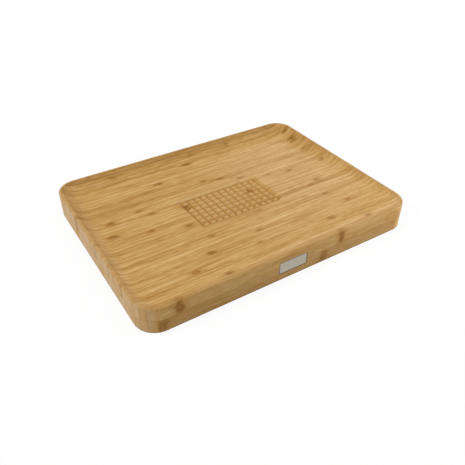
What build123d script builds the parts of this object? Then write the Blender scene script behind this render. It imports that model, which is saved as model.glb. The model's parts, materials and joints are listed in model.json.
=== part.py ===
from build123d import *
from math import acos, cos, hypot, sin
import os

# Carving board of laminated bamboo, in millimetres.
# Origin: middle of the underside. +X along the length, +Y to the back, +Z up.
# Two layers of staves stand on edge, run the full length and are glued face to face.

# Board
board_length = 400.0
board_width = 300.0
base_layer_height = 19.0
top_layer_height = 19.0
corner_radius = 28.0
top_edge_radius = 3.0
bottom_edge_radius = 1.5

# Staves: as many in each layer, side by side across the width
stave_count = 40
base_staves_per_node = 4

# Dish: a floor that falls to the back, with a cove up to the rim on all four sides
rim_width = 4.0
rim_edge_radius = 0.8
dish_depth_front = 3.5
dish_depth_back = 15.0
cove_radius = 28.0
floor_corner_radius = 12.0

# Grip: rows of blunt pyramids left standing between V grooves in the floor
grip_columns = 12
grip_rows = 7
grip_pitch = 10.0
grip_groove_depth = 3.5
grip_tip_width = 1.0
grip_shift_back = 3.0

# Badge: a plain plate in a pocket in the front face, held by an adhesive pad
badge_length = 42.0
badge_height = 17.5
badge_thickness = 1.0
badge_corner_radius = 2.0
badge_edge_radius = 0.25
badge_recess = 0.2
badge_gap = 0.3
pad_thickness = 0.5
pad_margin = 1.5

# Cutting bodies reach this far past the face that they cut
overcut = 1.0

# Shares of the cove's turn where its outline is drawn: 0 is the floor, 1 the rim, more is above it
cove_stations = (0.0, 0.2, 0.4, 0.6, 0.8, 1.0, 1.2)

board_height = base_layer_height + top_layer_height
front_y = -board_width / 2
stave_width = board_width / stave_count
rim_x = board_length / 2 - rim_width
rim_y = board_width / 2 - rim_width
rim_corner_radius = corner_radius - rim_width


def outer_block():
    """The glued-up block with its rounded corners and eased edges."""
    block = extrude(RectangleRounded(board_length, board_width, corner_radius), board_height)
    block = fillet(block.faces().sort_by(Axis.Z)[-1].edges(), top_edge_radius)
    return fillet(block.faces().sort_by(Axis.Z)[0].edges(), bottom_edge_radius)


def cove_point(depth, share):
    """Distance in from the rim and height of a point on the cove, at a share of its turn."""
    full_turn = acos(1 - depth / cove_radius)
    inset = cove_radius * (sin(full_turn) - sin(share * full_turn))
    height = board_height - depth + cove_radius * (1 - cos(share * full_turn))
    return inset, height


def dish_plane(share):
    """The plane of the dish's outline at a share of the cove's turn, and its half width there."""
    front_inset, front_z = cove_point(dish_depth_front, share)
    back_inset, back_z = cove_point(dish_depth_back, share)
    near = -rim_y + front_inset
    far = rim_y - back_inset
    middle = (0, (near + far) / 2, (front_z + back_z) / 2)
    upward = (0, front_z - back_z, far - near)
    plane = Plane(origin=middle, x_dir=(1, 0, 0), z_dir=upward)
    return plane, hypot(far - near, back_z - front_z) / 2


def dish_outline(share):
    """The dish's outline at a share of the cove's turn: four sides with rounded corners."""
    plane, half_width = dish_plane(share)
    front_x = rim_x - cove_point(dish_depth_front, share)[0]
    back_x = rim_x - cove_point(dish_depth_back, share)[0]
    corners = (
        (-front_x, -half_width),
        (front_x, -half_width),
        (back_x, half_width),
        (-back_x, half_width),
    )
    radius = floor_corner_radius + (rim_corner_radius - floor_corner_radius) * share
    outline = Polygon(*corners, align=None)
    return plane * fillet(outline.vertices(), radius)


def cut_dish(block):
    """Hollow the dish out of the block and ease the inner edge of its rim."""
    block = block - loft([dish_outline(share) for share in cove_stations])
    rim_face = block.faces().filter_by(Plane.XY).sort_by(Axis.Z)[-1]
    return fillet(rim_face.inner_wires()[0].edges(), rim_edge_radius)


def cut_grip(block):
    """Cut crossing V grooves with conical ends into the floor, so that pyramids stand between."""
    floor_plane = dish_plane(0)[0]
    center = floor_plane * Pos(0, grip_shift_back, 0)
    half_length = grip_columns * grip_pitch / 2
    half_width = grip_rows * grip_pitch / 2
    half_groove = (grip_pitch - grip_tip_width) / 2
    half_top = half_groove * (grip_groove_depth + overcut) / grip_groove_depth
    section = Polygon((-half_top, overcut), (0, -grip_groove_depth), (half_top, overcut), align=None)
    across = extrude(Plane.XZ * section, half_width, both=True)
    along = extrude(Plane.YZ * section, half_length, both=True)
    corner = Cone(0, half_top, grip_groove_depth + overcut, align=(Align.CENTER, Align.CENTER, Align.MIN))

    cutters = []
    for column in range(grip_columns + 1):
        cutters.append(center * Pos(column * grip_pitch - half_length, 0, 0) * across)
    for row in range(grip_rows + 1):
        cutters.append(center * Pos(0, row * grip_pitch - half_width, 0) * along)
    for x in (-half_length, half_length):
        for y in (-half_width, half_width):
            cutters.append(center * Pos(x, y, -grip_groove_depth) * corner)
    return block - cutters


def front_slab(length, height, radius, depth, thickness):
    """A rounded plate that lies in the front face, its back this deep behind the face."""
    plane = Plane(origin=(0, front_y + depth, board_height / 2), x_dir=(1, 0, 0), z_dir=(0, -1, 0))
    return extrude(plane * RectangleRounded(length, height, radius), thickness)


def make_badge():
    """The badge plate, its adhesive pad and the body that cuts their pocket."""
    plate_back = badge_recess + badge_thickness
    pocket_depth = plate_back + pad_thickness
    plate = front_slab(badge_length, badge_height, badge_corner_radius, plate_back, badge_thickness)
    plate = fillet(plate.faces().sort_by(Axis.Y)[0].edges(), badge_edge_radius)
    pad = front_slab(
        badge_length - 2 * pad_margin,
        badge_height - 2 * pad_margin,
        badge_corner_radius,
        pocket_depth,
        pad_thickness,
    )
    pocket = front_slab(
        badge_length + 2 * badge_gap,
        badge_height + 2 * badge_gap,
        badge_corner_radius + badge_gap,
        pocket_depth,
        pocket_depth + overcut,
    )
    return plate, pad, pocket


def stave_slab(index, bottom, top):
    """The slot of one stave, counted from the front, between two heights."""
    slab = Box(board_length + 2 * overcut, stave_width, top - bottom)
    middle_y = front_y + index * stave_width + stave_width / 2
    return Pos(0, middle_y, (bottom + top) / 2) * slab


def main():
    plate, pad, pocket = make_badge()
    block = cut_grip(cut_dish(outer_block())) - pocket

    os.makedirs("parts", exist_ok=True)
    for index in range(stave_count):
        stave = block & stave_slab(index, base_layer_height, board_height + overcut)
        export_step(stave, f"parts/top_stave_{index + 1:02d}.step")

    base_staves = [block & stave_slab(index, -overcut, base_layer_height) for index in range(stave_count)]
    for first in range(0, stave_count, base_staves_per_node):
        group = Compound([stave.solid() for stave in base_staves[first:first + base_staves_per_node]])
        export_step(group, f"parts/base_staves_{first // base_staves_per_node + 1:02d}.step")

    export_step(plate, "parts/badge_plate.step")
    export_step(pad, "parts/badge_adhesive_pad.step")


main()
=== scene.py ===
import json
import math

import bpy
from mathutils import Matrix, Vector


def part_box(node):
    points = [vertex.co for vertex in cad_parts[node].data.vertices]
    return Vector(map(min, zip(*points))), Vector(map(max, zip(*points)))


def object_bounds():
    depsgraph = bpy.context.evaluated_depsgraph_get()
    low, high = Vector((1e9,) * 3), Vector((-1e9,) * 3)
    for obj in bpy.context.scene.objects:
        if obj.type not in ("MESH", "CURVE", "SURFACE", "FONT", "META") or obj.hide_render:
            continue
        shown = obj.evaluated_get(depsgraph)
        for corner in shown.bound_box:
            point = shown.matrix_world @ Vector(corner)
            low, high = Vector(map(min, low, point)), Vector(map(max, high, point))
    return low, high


# Looks of a bamboo carving board, in metres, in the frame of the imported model:
# +X along the length, +Y to the back, +Z up, the board standing on z = 0.

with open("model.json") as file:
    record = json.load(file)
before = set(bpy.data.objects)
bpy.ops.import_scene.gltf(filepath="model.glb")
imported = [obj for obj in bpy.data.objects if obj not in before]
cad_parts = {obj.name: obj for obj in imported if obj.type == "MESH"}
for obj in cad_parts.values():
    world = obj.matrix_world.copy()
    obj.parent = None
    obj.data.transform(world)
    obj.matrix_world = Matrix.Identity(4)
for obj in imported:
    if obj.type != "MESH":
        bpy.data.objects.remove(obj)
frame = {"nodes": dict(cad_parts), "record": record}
cad_low, cad_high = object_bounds()
nodes = frame["nodes"]

mm = 0.001

# Staves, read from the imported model
stave_low, stave_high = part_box("top_stave_02")
stave_width = stave_high.y - stave_low.y
layer_height = stave_low.z
front_y = cad_low.y
back_y = cad_high.y
stave_count = round((back_y - front_y) / stave_width)

# Floor of the dish: its height in the middle of the board, and its rise for each unit to the back
dish_middle_height = 28.5 * mm
dish_slope = -0.0453

# Knots seen in the photograph, by stave of the upper layer counted from the front:
# place along the length in millimetres, and boldness from 0 to 1
top_knots = {
    1: {-155: 0.6, 76: 0.5},
    2: {-85: 0.6, 130: 0.4},
    5: {-115: 0.6, 87: 0.5},
    6: {-22: 0.1},
    8: {-198: 0.3, -82: 0.7, 135: 0.4},
    9: {-7: 0.2},
    12: {-65: 0.5, 120: 0.4},
    13: {-197: 0.2, 91: 0.2},
    14: {18: 0.3},
    16: {119: 0.4},
    17: {-77: 0.6, 136: 0.5},
    19: {-198: 0.3, -124: 0.5},
    21: {-170: 0.9, 38: 0.6},
    22: {-57: 0.6},
    23: {-60: 0.9, 119: 0.5, 182: 0.4},
    24: {-106: 0.3, 86: 0.3},
    25: {-162: 0.9},
    26: {-118: 0.4, 46: 0.5},
    28: {-197: 0.7, 19: 0.6},
    29: {-5: 0.6, 184: 0.3},
    33: {-65: 0.9, 185: 0.7},
    34: {185: 0.9},
    37: {-1: 0.8, 190: 0.7},
    39: {-116: 0.0, 81: 0.1},
    40: {-150: 0.0},
}

# Knots of the lower layer on the front face, and made-up ones on the back face
base_front_knots = {-176: 0.4, 47: 0.3}
base_back_knots = {-90: 0.6, 120: 0.6}

# A node's properties have room for three knots; a missing one lies far away
knots_per_node = 3
far_away = 9.0

# Nodes whose tone stands out from the rest, in shares of the way from dark to pale
own_tone = {"base_staves_01": 0.08}

# Colours, as linear light
straw = (0.635, 0.420, 0.180, 1)
honey = (0.515, 0.300, 0.094, 1)
toffee = (0.350, 0.168, 0.038, 1)
amber = (0.420, 0.195, 0.030, 1)
knot_brown = (0.250, 0.100, 0.014, 1)
# Glue brown colours the glue lines and also the painted contact shadow along the bottom edge
glue_and_shadow_brown = (0.220, 0.095, 0.020, 1)
end_grain = (0.490, 0.352, 0.198, 1)
# Colour of the painted shade along the rim
rim_shade_colour = (0.430, 0.262, 0.100, 1)
steel_dark = (0.33, 0.30, 0.25, 1)
steel_pale = (0.50, 0.46, 0.39, 1)
# Colour of the painted shadow along the badge plate's edges
gap_shadow_grey = (0.070, 0.060, 0.050, 1)
foam_dark = (0.010, 0.010, 0.010, 1)
foam_pale = (0.030, 0.030, 0.029, 1)
floor_paint = (0.9, 0.9, 0.9, 1)
white = (1, 1, 1, 1)

# Noise, dice and shares run from 0 to 1
middle = 0.5

# Noise: the span of it that colours use, the wider one that gloss uses, and levels of detail
noise_span = (0.3, 0.7)
gloss_span = (0.25, 0.75)
coarse = 1.0
fine = 2.0
finest = 3.0

# Sizes of patches in the bamboo: along the fibres, across the stave and through its height
slow_size = (160 * mm, 6 * mm, 20 * mm)
streak_size = (48 * mm, 1.6 * mm, 8 * mm)
fibre_size = (12 * mm, 0.6 * mm, 2.5 * mm)
bundle_size = (60 * mm, 1.0 * mm, 1.2 * mm)
fleck_size = (20 * mm, 4 * mm, 9 * mm)
bend_size = (14 * mm, 1.6 * mm, 6 * mm)
patch_size = (9 * mm, 1.3 * mm, 6 * mm)

# Numbers that the dice are thrown from: a point on the front or back face takes its stave's number
# a step inside, and gaps keep the numbers of the two layers apart, and of knots and staves
skin = 0.02 * mm
layer_number_gap = 7.0
knot_number_gap = 0.5

# Dice: how many patches the noise moves from stave to stave, and the powers that make a thing rare
noise_shift = 50.0
dark_stave_rarity = 4.0
amber_end_rarity = 2.0
glue_rarity = 2.0

# How far a face turns to the ends, the sides or the top, as a share of its normal:
# where a change begins and where it is complete
calm_end_turn = (0.20, 0.90)
side_turn = (0.60, 0.95)
end_grain_turn = (0.20, 0.70)
crossing_turn = (0.30, 0.55)
upward_turn = (0.25, 0.50)

# Tone: 0 is toffee, 1 straw. A few staves are much darker than the rest, and each is darker
# towards the outer side of the culm that it was cut from. Calm shares quieten the streaks
usual_tone = 0.58
dark_stave_drop = 0.30
honey_tone = 0.50
slow_swing = 0.13
streak_swing = 0.25
fibre_swing = 0.23
end_calm = 0.35
side_calm = 0.60
culm_tone_from = 0.3
culm_inner_tone = 0.03
culm_outer_tone = -0.09

# Vascular bundles: radius in shares of their spacing, its growth to the culm's outer side,
# where their edge begins and ends, and how strongly they show
bundle_radius = 0.22
bundle_growth = 0.16
bundle_edge = (-0.12, 0.06)
bundle_strength = 0.25

# End grain, and how amber it gets in some staves
end_strength = 0.75
amber_end_strength = 0.85

# Grip: depths under the floor where the painted light on the facets fades in, and where the painted shade
# of a groove's bottom begins and ends
cut_depth = (0.3 * mm, 1.0 * mm)
facet_light_strength = 0.85
groove_depth = (2.1 * mm, 3.3 * mm)
groove_shade_strength = 0.75

# Flecks: the span of noise where they show
fleck_span = (0.60, 0.78)
fleck_strength = 0.45

# Knots: least half length and half width, with what boldness and chance add to them, half height on
# the front and back faces, strength with what boldness adds to it, and how far they bend
knot_half_length = (4.0 * mm, 3.5 * mm, 2.0 * mm)
knot_half_width = (2.7 * mm, 2.4 * mm, 0.8 * mm)
knot_half_height = 12 * mm
knot_strength = 0.48
bold_strength = 0.60
knot_bend = 14 * mm

# A knot's halo and heart, with edges in shares of its half sizes, and the patches that break it up
halo_edge = (0.6, 2.6)
halo_strength = 0.45
heart_edge = (0.45, 1.10)
patch_span = (0.36, 0.56)
patch_least = 0.35
side_patch_least = 0.80

# Chance knots: how far along the length they spread, and how bold they get
chance_spread = 700 * mm
chance_boldness = 0.8

# Glue lines: distances where they fade, and strengths
glue_edge = (0.05 * mm, 0.50 * mm)
glue_strength = 0.90
layer_glue_edge = (0.05 * mm, 0.40 * mm)
layer_glue_strength = 0.55

# Painted shade: the rim's painted shade begins and is complete at these depths under the top,
# and the painted contact shadow along the bottom edge fades between these heights
rim_begins = 2.0 * mm
rim_complete = 0.4 * mm
rim_shade_strength = 0.45
contact_shadow_edge = (1.0 * mm, 2.4 * mm)
contact_shadow_strength = 0.90

# Surfaces: roughness from low to high, and height and strength of the relief
bamboo_roughness = (0.40, 0.54)
bamboo_specular = 0.06
bamboo_relief = 0.10 * mm
bamboo_relief_strength = 0.25
bundle_relief = 0.5
steel_roughness = (0.34, 0.50)
steel_relief = 0.02 * mm
steel_relief_strength = 0.2
brush_size = (25 * mm, 0.12 * mm, 0.12 * mm)
gap_shadow_edge = (0.5 * mm, 1.2 * mm)
gap_shadow_strength = 0.90
foam_cell = 0.4 * mm
foam_roughness = 0.9
foam_relief = 0.1 * mm
foam_relief_strength = 0.4

# The floor lies this much under the board, so that the two don't share a plane
floor_gap = 0.05 * mm

# Camera fitted to the board's outline in the photograph
camera_place = Vector((-320.5, -520.0, 436.2)) * mm
camera_target = Vector((-29.4, -57.0, 18.0)) * mm
camera_lens = 40.52
camera_sensor = 36.0


class NodeTree:
    """A node tree, and short ways to add nodes to it."""

    def __init__(self, tree):
        self.tree = tree
        self.tree.nodes.clear()

    def feed(self, socket, value):
        """Link a socket to an output, or set its value."""
        if isinstance(value, bpy.types.NodeSocket):
            self.tree.links.new(value, socket)
        else:
            socket.default_value = value

    def node(self, kind, inputs=None, **settings):
        """Add a node with its settings, and feed its inputs by name."""
        made = self.tree.nodes.new(kind)
        for name, value in settings.items():
            setattr(made, name, value)
        for name, value in (inputs or {}).items():
            self.feed(made.inputs[name], value)
        return made

    def operate(self, kind, operation, values):
        """Add a node for one operation, and feed its inputs in turn."""
        made = self.node(kind, operation=operation)
        for socket, value in zip(made.inputs, values):
            self.feed(socket, value)
        return made.outputs

    def math(self, operation, *values):
        return self.operate("ShaderNodeMath", operation, values)["Value"]

    def vector_math(self, operation, *values):
        return self.operate("ShaderNodeVectorMath", operation, values)["Vector"]

    def length(self, vector):
        return self.operate("ShaderNodeVectorMath", "LENGTH", [vector])["Value"]

    def scaled(self, vector, factor):
        made = self.node("ShaderNodeVectorMath", {"Scale": factor}, operation="SCALE")
        self.feed(made.inputs[0], vector)
        return made.outputs["Vector"]

    def squared(self, value):
        return self.math("POWER", value, 2.0)

    def split(self, vector):
        return self.node("ShaderNodeSeparateXYZ", {"Vector": vector}).outputs

    def clamp(self, value, low, high):
        return self.node("ShaderNodeClamp", {"Value": value, "Min": low, "Max": high}).outputs["Result"]

    def fade(self, value, start, end, low=0.0, high=1.0):
        """Smooth step of a value between start and end, from low to high."""
        inputs = {"Value": value, "From Min": start, "From Max": end, "To Min": low, "To Max": high}
        return self.node("ShaderNodeMapRange", inputs, interpolation_type="SMOOTHSTEP").outputs["Result"]

    def noise(self, vector, detail):
        inputs = {"Vector": vector, "Scale": 1.0, "Detail": detail}
        return self.node("ShaderNodeTexNoise", inputs).outputs["Fac"]

    def dice(self, number):
        """Random values that stay the same for the same number."""
        return self.node("ShaderNodeTexWhiteNoise", {"W": number}, noise_dimensions="1D").outputs

    def mix(self, share, first, second):
        """The first colour, with a share of the second."""
        made = self.node("ShaderNodeMix", data_type="RGBA")
        colours = [socket for socket in made.inputs if socket.type == "RGBA"]
        self.feed(made.inputs[0], share)
        self.feed(colours[0], first)
        self.feed(colours[1], second)
        return [socket for socket in made.outputs if socket.type == "RGBA"][0]

    def ramp(self, value, *stops):
        """Colours at their places on a scale, blended in between."""
        made = self.node("ShaderNodeValToRGB", {"Fac": value})
        elements = made.color_ramp.elements
        while len(elements) < len(stops):
            elements.new(1.0)
        for element, (position, colour) in zip(elements, stops):
            element.position = position
            element.color = colour
        return made.outputs["Color"]

    def seen_directly(self):
        """One where a ray comes from the camera, a reflection or glass."""
        path = self.node("ShaderNodeLightPath").outputs
        mirrored = self.math("MAXIMUM", path["Is Camera Ray"], path["Is Glossy Ray"])
        return self.math("MAXIMUM", mirrored, path["Is Transmission Ray"])


class Shader(NodeTree):
    """The node tree of one material, and the coordinates of the point that it colours."""

    def __init__(self, name):
        self.material = bpy.data.materials.new(name)
        self.material.use_nodes = True
        super().__init__(self.material.node_tree)
        coordinates = self.node("ShaderNodeTexCoord").outputs
        self.place = coordinates["Object"]
        self.normal = coordinates["Normal"]
        self.x, self.y, self.z = self.split(self.place)

    def raised(self, height, strength, distance):
        """The normal of a surface with relief."""
        inputs = {"Height": height, "Strength": strength, "Distance": distance}
        return self.node("ShaderNodeBump", inputs).outputs["Normal"]

    def surface(self, inputs):
        """End the tree in one principled surface."""
        shaded = self.node("ShaderNodeBsdfPrincipled", inputs)
        self.node("ShaderNodeOutputMaterial", {"Surface": shaded.outputs["BSDF"]})
        return self.material


class Bamboo(Shader):
    """Solid bamboo: every stave has its own tint, fibres along the length, knots and glue lines."""

    def __init__(self, name):
        super().__init__(name)
        facing_x, facing_y, self.upward = self.split(self.normal)
        self.endward = self.math("ABSOLUTE", facing_x)
        self.sideward = self.math("ABSOLUTE", facing_y)
        self.outward_end = self.math("MULTIPLY", facing_x, self.math("DIVIDE", self.x, cad_high.x))

        # Which stave, in which layer, and its dice
        self.across = self.staves_from_front(self.clamp(self.y, front_y + skin, back_y - skin))
        self.upper = self.math("GREATER_THAN", self.z, layer_height)
        stave = self.math("FLOOR", self.across)
        self.number = self.math("MULTIPLY_ADD", self.upper, stave_count + layer_number_gap, stave)
        dice = self.dice(self.number)
        self.tint_dice, self.turn_dice, self.glue_dice = self.split(dice["Color"])
        self.shift = self.scaled(dice["Color"], noise_shift)

        # The culm's outer side is denser and darker; it faces front or back by chance
        turned = self.math("GREATER_THAN", self.turn_dice, middle)
        share = self.math("FRACT", self.across)
        self.culm_outer = self.math("ABSOLUTE", self.math("SUBTRACT", turned, share))

        # Fibres show as streaks along the length, less on the sides and hardly on the ends
        calm_end = self.fade(self.endward, *calm_end_turn, 1.0, end_calm)
        calm_side = self.fade(self.sideward, *side_turn, 1.0, side_calm)
        self.calm = self.math("MULTIPLY", calm_end, calm_side)

        self.fibre = self.grain(fibre_size, fine)
        self.bundles = self.bundle_mask()

    def staves_from_front(self, y):
        return self.math("DIVIDE", self.math("SUBTRACT", y, front_y), stave_width)

    def stretched(self, size):
        """Coordinates in patches of a size, moved differently in each stave."""
        per_metre = [1 / length for length in size]
        return self.vector_math("MULTIPLY_ADD", self.place, per_metre, self.shift)

    def grain(self, size, detail):
        """Noise in patches drawn out along the fibres."""
        return self.noise(self.stretched(size), detail)

    def swing(self, noise, amount):
        """Noise turned into a change of tone by up to an amount, darker or paler."""
        return self.fade(noise, *noise_span, -amount, amount)

    def carried(self, name):
        """A property of the node that carries the material."""
        return self.node("ShaderNodeAttribute", attribute_type="OBJECT", attribute_name=name).outputs

    def bundle_mask(self):
        """Where the vascular bundles are: thin lines along the length, dots on the ends."""
        inputs = {"Vector": self.stretched(bundle_size), "Scale": 1.0}
        distance = self.node("ShaderNodeTexVoronoi", inputs).outputs["Distance"]
        radius = self.math("MULTIPLY_ADD", self.culm_outer, bundle_growth, bundle_radius)
        return self.fade(self.math("SUBTRACT", distance, radius), *bundle_edge, 1.0, 0.0)

    def clean_colour(self):
        """Colour of clean bamboo: the stave's tone, streaks, fibres and bundles."""
        darkness = self.math("POWER", self.tint_dice, dark_stave_rarity)
        tone = self.math("MULTIPLY_ADD", darkness, -dark_stave_drop, usual_tone)
        tone = self.math("ADD", tone, self.carried("tone")["Fac"])
        tone = self.math("ADD", tone, self.swing(self.grain(slow_size, coarse), slow_swing))
        streaks = self.swing(self.grain(streak_size, fine), streak_swing)
        streaks = self.math("ADD", streaks, self.swing(self.fibre, fibre_swing))
        tone = self.math("MULTIPLY_ADD", streaks, self.calm, tone)
        culm_tone = self.fade(self.culm_outer, culm_tone_from, 1.0, culm_inner_tone, culm_outer_tone)
        tone = self.math("ADD", tone, culm_tone)
        colour = self.ramp(tone, (0.0, toffee), (honey_tone, honey), (1.0, straw))
        return self.mix(self.math("MULTIPLY", self.bundles, bundle_strength), colour, toffee)

    def with_end_grain(self, colour):
        """Paler end grain on the two outer ends, amber in some staves."""
        amber_share = self.math("POWER", self.turn_dice, amber_end_rarity)
        amber_share = self.math("MULTIPLY", amber_share, amber_end_strength)
        end_colour = self.mix(amber_share, end_grain, amber)
        return self.mix(self.fade(self.outward_end, *end_grain_turn, 0.0, end_strength), colour, end_colour)

    def with_grip(self, colour):
        """The grip: painted light pales the facets that run along the fibres, and painted shade darkens the
        grooves' bottoms.
        """
        floor_height = self.math("MULTIPLY_ADD", self.y, dish_slope, dish_middle_height)
        depth = self.math("SUBTRACT", floor_height, self.z)
        open_above = self.fade(self.upward, *upward_turn)
        cut = self.math("MULTIPLY", self.fade(depth, *cut_depth), open_above)
        # Painted light: facets that run along the fibres are made paler, as if lit
        pale = self.fade(self.endward, *crossing_turn, facet_light_strength, 0.0)
        colour = self.mix(self.math("MULTIPLY", cut, pale), colour, straw)
        # Painted shade darkens the bottoms of the grooves
        groove = self.fade(depth, *groove_depth, 0.0, groove_shade_strength)
        return self.mix(self.math("MULTIPLY", groove, open_above), colour, toffee)

    def with_flecks(self, colour):
        """Faint amber flecks."""
        fleck = self.fade(self.grain(fleck_size, coarse), *fleck_span, 0.0, fleck_strength)
        return self.mix(self.math("MULTIPLY", fleck, self.calm), colour, amber)

    def knot_size(self, bold, chance, sizes):
        """Half a knot's length or width: the least, and what boldness and chance add to it."""
        least, bold_share, chance_share = sizes
        size = self.math("MULTIPLY_ADD", bold, bold_share, least)
        return self.math("MULTIPLY_ADD", chance, chance_share, size)

    def with_knots(self, colour):
        """The node's own knots, and chance knots in the staves inside the lower layer."""
        places = self.split(self.carried("knots")["Vector"])
        boldness = self.split(self.carried("boldness")["Vector"])
        inside = self.math("LESS_THAN", self.math("ABSOLUTE", self.y), back_y - stave_width)
        by_chance = self.math("MULTIPLY", inside, self.math("SUBTRACT", 1.0, self.upper))

        # Knots bend with the fibres and break up in patches, less so on the front and back faces
        bend = self.math("SUBTRACT", self.grain(bend_size, fine), middle)
        bent_x = self.math("ADD", self.x, self.math("MULTIPLY", bend, knot_bend))
        patches = self.fade(self.grain(patch_size, fine), *patch_span, patch_least, 1.0)
        side_patches = self.fade(self.sideward, *side_turn, 0.0, side_patch_least)
        patches = self.math("MAXIMUM", patches, side_patches)

        # Distance from the middle of the stave's width; the front and back faces count as the middle
        half_stave = stave_width / 2
        core_y = self.clamp(self.y, front_y + half_stave, back_y - half_stave)
        core = self.math("FRACT", self.staves_from_front(core_y))
        aside = self.math("MULTIPLY", self.math("SUBTRACT", core, middle), stave_width)

        # Distance from the middle of the layer's height counts only on the front and back faces
        middle_z = self.math("MULTIPLY_ADD", self.upper, layer_height, layer_height / 2)
        above = self.math("DIVIDE", self.math("SUBTRACT", self.z, middle_z), knot_half_height)
        reach_z = self.math("MULTIPLY", self.squared(above), self.fade(self.sideward, *side_turn))

        for index in range(knots_per_node):
            own_number = index + knot_number_gap
            dice = self.dice(self.math("MULTIPLY_ADD", self.number, knots_per_node, own_number))
            long_dice, wide_dice, bold_dice = self.split(dice["Color"])
            chance_x = self.math("SUBTRACT", dice["Value"], middle)
            chance_x = self.math("MULTIPLY", chance_x, chance_spread)
            move = self.math("MULTIPLY", by_chance, self.math("SUBTRACT", chance_x, places[index]))
            along = self.math("SUBTRACT", bent_x, self.math("ADD", places[index], move))
            chance_bold = self.math("MULTIPLY", bold_dice, chance_boldness)
            bold = self.math("MULTIPLY_ADD", by_chance, chance_bold, boldness[index])

            half_length = self.knot_size(bold, long_dice, knot_half_length)
            half_width = self.knot_size(bold, wide_dice, knot_half_width)
            reach_x = self.squared(self.math("DIVIDE", along, half_length))
            reach_y = self.squared(self.math("DIVIDE", aside, half_width))
            reach = self.math("ADD", reach_x, self.math("ADD", reach_y, reach_z))
            spread = self.math("SQRT", reach)

            strength = self.math("MULTIPLY_ADD", bold, bold_strength, knot_strength)
            halo = self.fade(spread, *halo_edge, halo_strength, 0.0)
            colour = self.mix(self.math("MULTIPLY", halo, strength), colour, amber)
            heart = self.math("MULTIPLY", self.fade(spread, *heart_edge, 1.0, 0.0), patches)
            colour = self.mix(self.math("MULTIPLY", heart, strength), colour, knot_brown)
        return colour

    def with_glue(self, colour):
        """Glue lines between staves, some plain and some faint, and one between the two layers."""
        to_stave = self.math("MULTIPLY", self.math("PINGPONG", self.across, middle), stave_width)
        to_layer = self.math("ABSOLUTE", self.math("SUBTRACT", self.z, layer_height))
        plainness = self.math("POWER", self.glue_dice, glue_rarity)
        plainness = self.math("MULTIPLY", plainness, glue_strength)
        stave_glue = self.math("MULTIPLY", self.fade(to_stave, *glue_edge, 1.0, 0.0), plainness)
        layer_glue = self.fade(to_layer, *layer_glue_edge, layer_glue_strength, 0.0)
        return self.mix(self.math("MAXIMUM", stave_glue, layer_glue), colour, glue_and_shadow_brown)

    def with_painted_shade(self, colour):
        """Painted shade along the rim, and a painted contact shadow along the bottom edge."""
        # Painted shade along the rim
        rim = self.fade(self.z, cad_high.z - rim_begins, cad_high.z - rim_complete, 0.0, rim_shade_strength)
        colour = self.mix(rim, colour, rim_shade_colour)
        # Painted contact shadow along the bottom edge
        contact_shadow = self.fade(self.z, *contact_shadow_edge, contact_shadow_strength, 0.0)
        return self.mix(contact_shadow, colour, glue_and_shadow_brown)

    def finished(self):
        """The material, with its colour painted in layers."""
        colour = self.clean_colour()
        colour = self.with_end_grain(colour)
        colour = self.with_grip(colour)
        colour = self.with_flecks(colour)
        colour = self.with_knots(colour)
        colour = self.with_glue(colour)
        colour = self.with_painted_shade(colour)
        sunken = self.math("MULTIPLY", self.bundles, bundle_relief)
        height = self.math("SUBTRACT", self.fibre, sunken)
        return self.surface({
            "Base Color": colour,
            "Roughness": self.fade(self.fibre, *gloss_span, *bamboo_roughness),
            "Normal": self.raised(height, bamboo_relief_strength, bamboo_relief),
            "Specular IOR Level": bamboo_specular,
        })


def brushed_steel():
    """Steel brushed along its length, with a painted shadow along its edges."""
    plate_low, plate_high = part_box("badge_plate")
    shader = Shader("badge_steel")
    per_metre = [1 / length for length in brush_size]
    strokes = shader.noise(shader.vector_math("MULTIPLY", shader.place, per_metre), finest)
    colour = shader.ramp(strokes, *zip(noise_span, (steel_dark, steel_pale)))
    # Painted shadow: the plate darkens towards its edges
    to_end = shader.math("SUBTRACT", plate_high.x, shader.math("ABSOLUTE", shader.x))
    to_top = shader.math("SUBTRACT", plate_high.z, shader.z)
    to_bottom = shader.math("SUBTRACT", shader.z, plate_low.z)
    to_edge = shader.math("MINIMUM", to_end, shader.math("MINIMUM", to_top, to_bottom))
    gap_shadow = shader.fade(to_edge, *gap_shadow_edge, gap_shadow_strength, 0.0)
    return shader.surface({
        "Base Color": shader.mix(gap_shadow, colour, gap_shadow_grey),
        "Roughness": shader.fade(strokes, *gloss_span, *steel_roughness),
        "Normal": shader.raised(strokes, steel_relief_strength, steel_relief),
        "Metallic": 1.0,
    })


def foam_pad():
    """Dark foam tape with a fine open grain."""
    shader = Shader("adhesive_pad")
    cells = shader.noise(shader.scaled(shader.place, 1 / foam_cell), fine)
    return shader.surface({
        "Base Color": shader.ramp(cells, *zip(noise_span, (foam_dark, foam_pale))),
        "Roughness": foam_roughness,
        "Normal": shader.raised(cells, foam_relief_strength, foam_relief),
    })


def add_knots(node, knots):
    """Tell a node's material its knots: places in metres, and boldness."""
    missing = knots_per_node - len(knots)
    node["knots"] = [place * mm for place in knots] + [far_away] * missing
    node["boldness"] = list(knots.values()) + [0.0] * missing


def dress_nodes():
    """Give every CAD node its material, and every stave its knots."""
    finishes = {
        "bamboo": Bamboo("bamboo").finished(),
        "badge_steel": brushed_steel(),
        "adhesive_pad": foam_pad(),
    }
    slots = {part["node"]: part["material_slot"] for part in frame["record"]["subparts"]}
    for name, node in nodes.items():
        node.data.materials.clear()
        node.data.materials.append(finishes[slots[name]])
        node["tone"] = own_tone.get(name, 0.0)
        add_knots(node, {})
    for number, knots in top_knots.items():
        add_knots(nodes[f"top_stave_{number:02d}"], knots)
    add_knots(nodes["base_staves_01"], base_front_knots)
    add_knots(nodes["base_staves_10"], base_back_knots)


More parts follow.
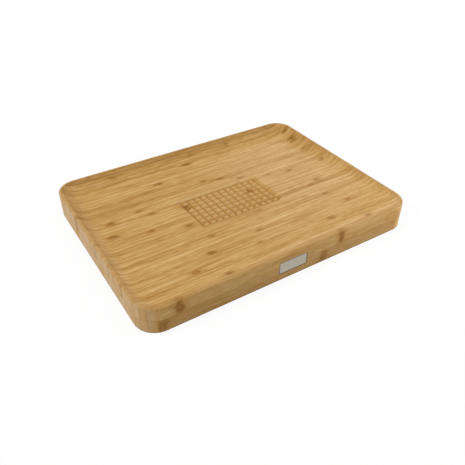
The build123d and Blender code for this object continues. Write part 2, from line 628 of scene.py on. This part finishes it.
def build_world(ambient):
    """White where it is seen, an even soft light elsewhere."""
    world = bpy.data.worlds.new("studio")
    world.use_nodes = True
    sky = NodeTree(world.node_tree)
    inputs = {"Value": sky.seen_directly(), "To Min": ambient, "To Max": 1.0}
    strength = sky.node("ShaderNodeMapRange", inputs).outputs["Result"]
    background = sky.node("ShaderNodeBackground", {"Color": white, "Strength": strength})
    sky.node("ShaderNodeOutputWorld", {"Surface": background.outputs["Background"]})
    bpy.context.scene.world = world


def build_floor(size, shadow_share, shadow_reach):
    """A plain white floor that keeps a share of the board's shadow near the board."""
    half = size / 2
    corners = [(-half, -half), (half, -half), (half, half), (-half, half)]
    mesh = bpy.data.meshes.new("floor")
    mesh.from_pydata([(x, y, -floor_gap) for x, y in corners], [], [(0, 1, 2, 3)])
    floor = bpy.data.objects.new("floor", mesh)
    bpy.context.scene.collection.objects.link(floor)

    shader = Shader("floor_white")
    paint = shader.node("ShaderNodeBsdfDiffuse", {"Color": floor_paint})
    glow = shader.node("ShaderNodeEmission", {"Color": white, "Strength": 1.0})
    distance = shader.length(shader.place)
    glow_share = shader.fade(distance, shadow_reach / 2, shadow_reach, 1 - shadow_share, 1.0)
    seen_glow = shader.math("MULTIPLY", shader.seen_directly(), glow_share)
    mixed = shader.node("ShaderNodeMixShader", {"Fac": seen_glow})
    shader.feed(mixed.inputs[1], paint.outputs["BSDF"])
    shader.feed(mixed.inputs[2], glow.outputs["Emission"])
    shader.node("ShaderNodeOutputMaterial", {"Surface": mixed.outputs["Shader"]})
    floor.data.materials.append(shader.material)


def place_facing(name, data, place, target):
    """Put a lamp or camera at a place, facing a target."""
    made = bpy.data.objects.new(name, data)
    made.location = place
    made.rotation_mode = "QUATERNION"
    made.rotation_quaternion = (target - place).to_track_quat("-Z", "Y")
    bpy.context.scene.collection.objects.link(made)
    return made


def softbox(name, azimuth, elevation, distance, size, power):
    """A square area light that faces the board; its azimuth counts from +X towards +Y, in degrees."""
    turn = math.radians(azimuth)
    tilt = math.radians(elevation)
    toward = Vector((math.cos(tilt) * math.cos(turn), math.cos(tilt) * math.sin(turn), math.sin(tilt)))
    lamp = bpy.data.lights.new(name, "AREA")
    lamp.size = size
    lamp.energy = power
    place_facing(name, lamp, toward * distance, Vector())


def build_camera():
    """The camera at the photograph's viewing angle."""
    data = bpy.data.cameras.new("camera")
    data.sensor_width = camera_sensor
    data.lens = camera_lens
    bpy.context.scene.camera = place_facing("camera", data, camera_place, camera_target)


dress_nodes()
build_world(ambient=0.22)
build_floor(size=8.0, shadow_share=0.08, shadow_reach=0.7)
softbox("overhead", azimuth=300, elevation=78, distance=2.0, size=1.1, power=9.0)
softbox("left_key", azimuth=172, elevation=41, distance=2.0, size=0.6, power=23.5)
softbox("right_fill", azimuth=322, elevation=40, distance=0.9, size=0.5, power=1.4)
softbox("left_front", azimuth=228, elevation=20, distance=2.0, size=1.1, power=1.5)
softbox("back_sheen", azimuth=46, elevation=26, distance=0.9, size=0.5, power=2.6)
softbox("right_front", azimuth=322, elevation=8, distance=0.52, size=0.25, power=0.53)
build_camera()
bpy.context.scene.view_settings.view_transform = "Standard"
